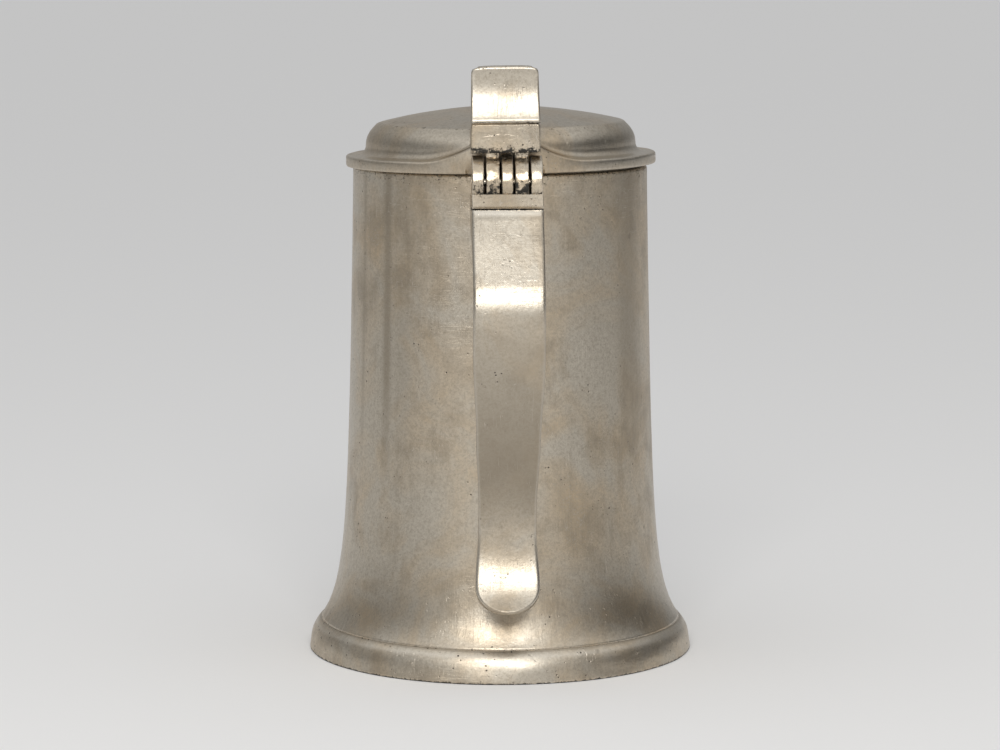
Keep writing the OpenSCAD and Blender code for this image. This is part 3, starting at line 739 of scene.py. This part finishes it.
# The same from the dome's inside down to the ring
lid_inner = dome(31.0, 140.7, 3.9, 16)[::-1]
lid_inner += [(31.8, 140.3), (34.2, 136.0), (34.5, 134.9), (35.2, 132.6), (35.2, 129.4),
              (35.4, 129.05), (36.5, 129.05), (36.78, 129.3)]


flange_mid, flange_top, crease_z, relief_r = 132.6, 134.0, 142.3, 7.35


def lid_shape(x, y, z):
    """The turned lid with its sweep up to the arm, its relief for the hinge and soft dents."""
    r = hypot(x, y)
    outside = r > 35.4 - 0.6 * max(0.0, z - 138)
    if y < -20 and z > 130.9 and outside:
        side = abs(x)
        lift = 3.9 * unit((22.5 - side) / 13.8) ** 2.0
        swell = unit((27.0 - side) / 18.3) ** 1.4
        if z > flange_mid:
            share = unit((z - flange_top) / (crease_z - flange_top))
            z += lift * (1 - share) ** 1.3 * unit(z - flange_mid)
            if r < 38.6:
                k = 1 + (40.7 - r) / r * 0.26 * swell * ease((142.4 - z) / 5.4)
                x, y = x * k, y * k
        if abs(x) < 9.7 and hypot(y - hinge_y, z - hinge_z) < relief_r:
            y = hinge_y + sqrt(max(0.0, relief_r ** 2 - (z - hinge_z) ** 2))
    wave = noise.noise(Vector((x * 0.08, y * 0.08, z * 0.05 + 3))) * 0.14
    if z > 131.5:
        z += wave * min(1.0, (z - 131.5) / 2)
    return x, y, z


lid_points, lid_faces, lid_runs = turned(lid_outer + lid_inner, 480, lid_shape)
pewter_lid = pewter("pewter_lid", tone=0.555, brown=0.45, rough=0.38, streaks=0.4, pits=1.3,
                    grime_and_shade=1.0, seed=5.0)
lid_roll, lid_turn, lid_shift = -0.7, -0.5, -0.2
lid_tilt = (Matrix.Translation((0, hinge_y / 1000, rim_z / 1000))
            @ Matrix.Rotation(radians(lid_roll), 4, "Y") @ Matrix.Rotation(radians(lid_turn), 4, "Z")
            @ Matrix.Translation((lid_shift / 1000, -hinge_y / 1000, -rim_z / 1000)))


def tilted(points, lifted=0.0):
    """Points moved as the lid sits, a little askew on its worn hinge."""
    moved = [lid_tilt @ Vector((x / 1000, y / 1000, (z + lifted) / 1000)) for x, y, z in points]
    return [(p.x * 1000, p.y * 1000, p.z * 1000) for p in moved]


def lid_dirt_and_shade(x, y, z):
    r = hypot(x, y)
    # Painted shade and grime under the flange, heavier on the right; dirt in the crease and on the
    # locating ring
    under = 0.62 * unit((131.9 - z) / 0.4) if 37.2 < r < 41.2 and z < 132 else 0.0
    crease = 0.38 * close_to(z, crease_z, 0.6) if r > 32 else 0.0
    ring = 0.3 if r < 37.2 and z < rim_z else 0.0
    return under * (0.55 + 0.45 * unit(x / 12)) + crease + ring


def lid_rub(x, y, z):
    """Bright along the flange's upper edge."""
    return 0.35 * close_to(z, 133.9, 0.5) if hypot(x, y) > 40.6 else 0.0


piece("lid_bowl", tilted(lid_points, 0.34), lid_faces, lid_runs, pewter_lid, "lid_assembly",
      "lid", lid_dirt_and_shade, lid_rub)

# ---- Lid arm ----
# The broad arm that carries the lid out over the hinge: an upright face under the thumb lift,
# two parallel sides that run back into the crown, and a ragged dirty lower edge.

arm_y, arm_low, arm_top = -50.0, 137.3, 145.0
arm_pairs = [((arm_y + 0.75, arm_low - 0.02), (-36.0, 136.4)),
             ((arm_y + 0.25, arm_low + 0.05), (-35.5, 137.2)),
             ((arm_y + 0.06, arm_low + 0.22), (-34.6, 138.2))]
arm_pairs += [((arm_y - 0.10 * sin(pi * k / 12), arm_low + 0.5 + 6.9 * k / 12),
               (-34.0 + 1.2 * (k / 12) ** 2, 138.6 + 3.4 * k / 12)) for k in range(13)]
arm_pairs += [((arm_y + 0.12, arm_top - 0.1), (-32.2, 142.6)),
              ((arm_y + 0.8, arm_top + 0.02), (-31.8, 142.75)),
              ((arm_y + 4.3, arm_top), (-31.4, 142.9))]
arm_points, arm_faces, arm_runs = lofted(
    arm_pairs, [8.8 - 0.25 * (p[0][1] > 144.5) for p in arm_pairs], 0.45, across=13, bend=4)


def arm_dirt(x, y, z):
    """Ragged specks that thin out upwards from the face's lower edge."""
    ragged = 0.68 + 0.7 * noise.noise(Vector((x * 0.7, y, z * 0.9)))
    return ragged * max(0.0, 1.6 - (z - 137.2) / 1.7) if y < -49 else 0.2


piece("lid_arm", tilted(arm_points), arm_faces, arm_runs, pewter_hinge, "lid_assembly",
      "lid_arm", arm_dirt)

# ---- Lid knuckles ----
# Two knuckles that turn between the handle's three on a steel pin, each hanging from the arm by
# a short web. Lumps of old solder and dirt have gathered on their lower half.

lid_knuckle_outline = [(-49.0, 137.8), (-49.0, 136.6)]
lid_knuckle_outline += [around_pin(barrel_r, a) for a in range(107, 386, 4)]
lid_knuckle_outline += [(-41.5, 134.3), (-41.5, 137.8)]
knuckle_points, knuckle_faces, knuckle_runs = plates(
    [(lid_knuckle_outline, -5.45, -1.95, 0.3), (lid_knuckle_outline, 1.95, 5.45, 0.3)], 8, 0.22)


def knuckle_dirt_and_shade(x, y, z):
    """Ragged dirt low on the front, a thinner ragged painted shade at the top under the arm, and an
    even amount behind the pin.
    """
    if y > hinge_y:
        return 0.5
    ragged = 0.55 + 0.9 * noise.noise(Vector((x * 0.8, y * 0.6, z * 0.8)))
    low = 0.95 * unit((131.4 - z) / 2.2)
    top = 0.5 * unit((z - 135.0) / 1.2)
    return (low + top) * ragged * 1.2 + 0.12


piece("lid_knuckles", knuckle_points, knuckle_faces, knuckle_runs, pewter_hinge, "lid_assembly",
      "lid_knuckles", knuckle_dirt_and_shade)

# ---- Thumb lift ----
# A cast lever soldered on the arm: a small lip, a hollow front that sweeps up and back, and a
# rounded top. The thumb keeps its face bright; its top edge has gone dull.

lip, lift_h, front_steps = (-51.9, 145.7), 12.9, 33
# How far the front leans back from upright, in degrees, at heights above the lip
tilts = ((0.0, 36.0), (0.7, 26.0), (1.6, 21.5), (5.2, 13.0), (7.6, 5.0), (9.6, -1.0), (11.6, -9.0),
         (13.2, -18.0))
front = [lip]
for k in range(1, front_steps + 1):
    height = lift_h * k / front_steps
    a, b = [(a, b) for a, b in zip(tilts, tilts[1:]) if a[0] <= height <= b[0]][0]
    lean = a[1] + (b[1] - a[1]) * (height - a[0]) / (b[0] - a[0])
    front.append((front[-1][0] + tan(radians(lean)) * lift_h / front_steps, lip[1] + height))
crest = front[-1]
back = [(crest[0] + 2.4, crest[1] + 0.35), (crest[0] + 3.0, crest[1] - 5), (-45.4, 150.0),
        (-43.5, 145.0)]
lift_pairs = [((lip[0] + 0.32, 144.98), (-43.5, 144.9)), ((lip[0] + 0.08, 145.2), (-43.6, 145.15)),
              ((lip[0], 145.45), (-43.75, 145.5))]
lift_pairs += [(p, bezier(back, 0.97 - 0.97 * k / front_steps)) for k, p in enumerate(front)]
for k in range(1, 8):
    turned_by = radians(200 - 21 * k)
    edge = (crest[0] + 1.2 + 1.2 * cos(turned_by) + 0.05, crest[1] + 0.2 + 0.65 * sin(turned_by))
    lift_pairs.append((edge, (back[0][0] - 0.05 * k, back[0][1] + 0.03 * k)))


def lift_half(z):
    """Half the lift's width at a height, with its two top corners rounded."""
    w = 8.8 - 0.3 * (z - 145) / 14
    corner_r, drop = 1.6, 159.25 - z
    if drop < corner_r:
        w -= corner_r - sqrt(max(0.0, corner_r ** 2 - (corner_r - drop) ** 2))
    return w


lift_points, lift_faces, lift_runs = lofted(
    lift_pairs, [lift_half(o[1]) for o, n in lift_pairs], 0.5, across=21, bend=4)
lift_points = [(x, y, z - 0.55 * (abs(x) / 8.6) ** 4 * max(0.0, (z - 156) / 3.3))
               for x, y, z in lift_points]
pewter_lift = pewter("pewter_lift", tone=0.57, brown=0.15, rough=0.37, streaks=0.3, pits=1.2,
                     grime_and_shade=1.0, seed=6.0)


def lift_dirt_and_shadow(x, y, z):
    # Painted shadow under the lip's lower edge, and a little dirt along the top
    return max(0.0, 0.85 - abs(z - 145.1) / 0.35) + 0.2 * max(0.0, (z - 156.8) / 1.6)


def lift_rub(x, y, z):
    return 0.6 * close_to(abs(x), 8.55, 0.4)


piece("thumb_lift", tilted(lift_points), lift_faces, lift_runs, pewter_lift, "lid_assembly",
      "thumb_lift", lift_dirt_and_shadow, lift_rub)

# ---- Hinge pin, plugs, lug and bottom plate ----
# Parts that are seen only from below, from the side or with the lid open: the steel pin, the
# solder that closes its bore, the lug behind the handle's waist, and the drum's flat bottom.

pewter_inside = pewter("pewter_inside", tone=0.50, brown=0.5, rough=0.46, streaks=0.2, pits=1.4,
                       grime_and_shade=0.6, seed=7.0)
steel_pin = pewter("steel_pin", tone=0.58, brown=0.1, rough=0.25, streaks=0.2, pits=0.4,
                   grime_and_shade=0.3, seed=8.0)
for node, material, slot in (
        ("base_plate", pewter_inside, "pewter_inside"), ("handle_lug", pewter_inside, "pewter_inside"),
        ("hinge_pin", steel_pin, "steel_pin"), ("pin_plug_left", pewter_hinge, "pewter_hinge"),
        ("pin_plug_right", pewter_hinge, "pewter_hinge")):
    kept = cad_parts[node]
    kept.data.materials.clear()
    kept.data.materials.append(material)
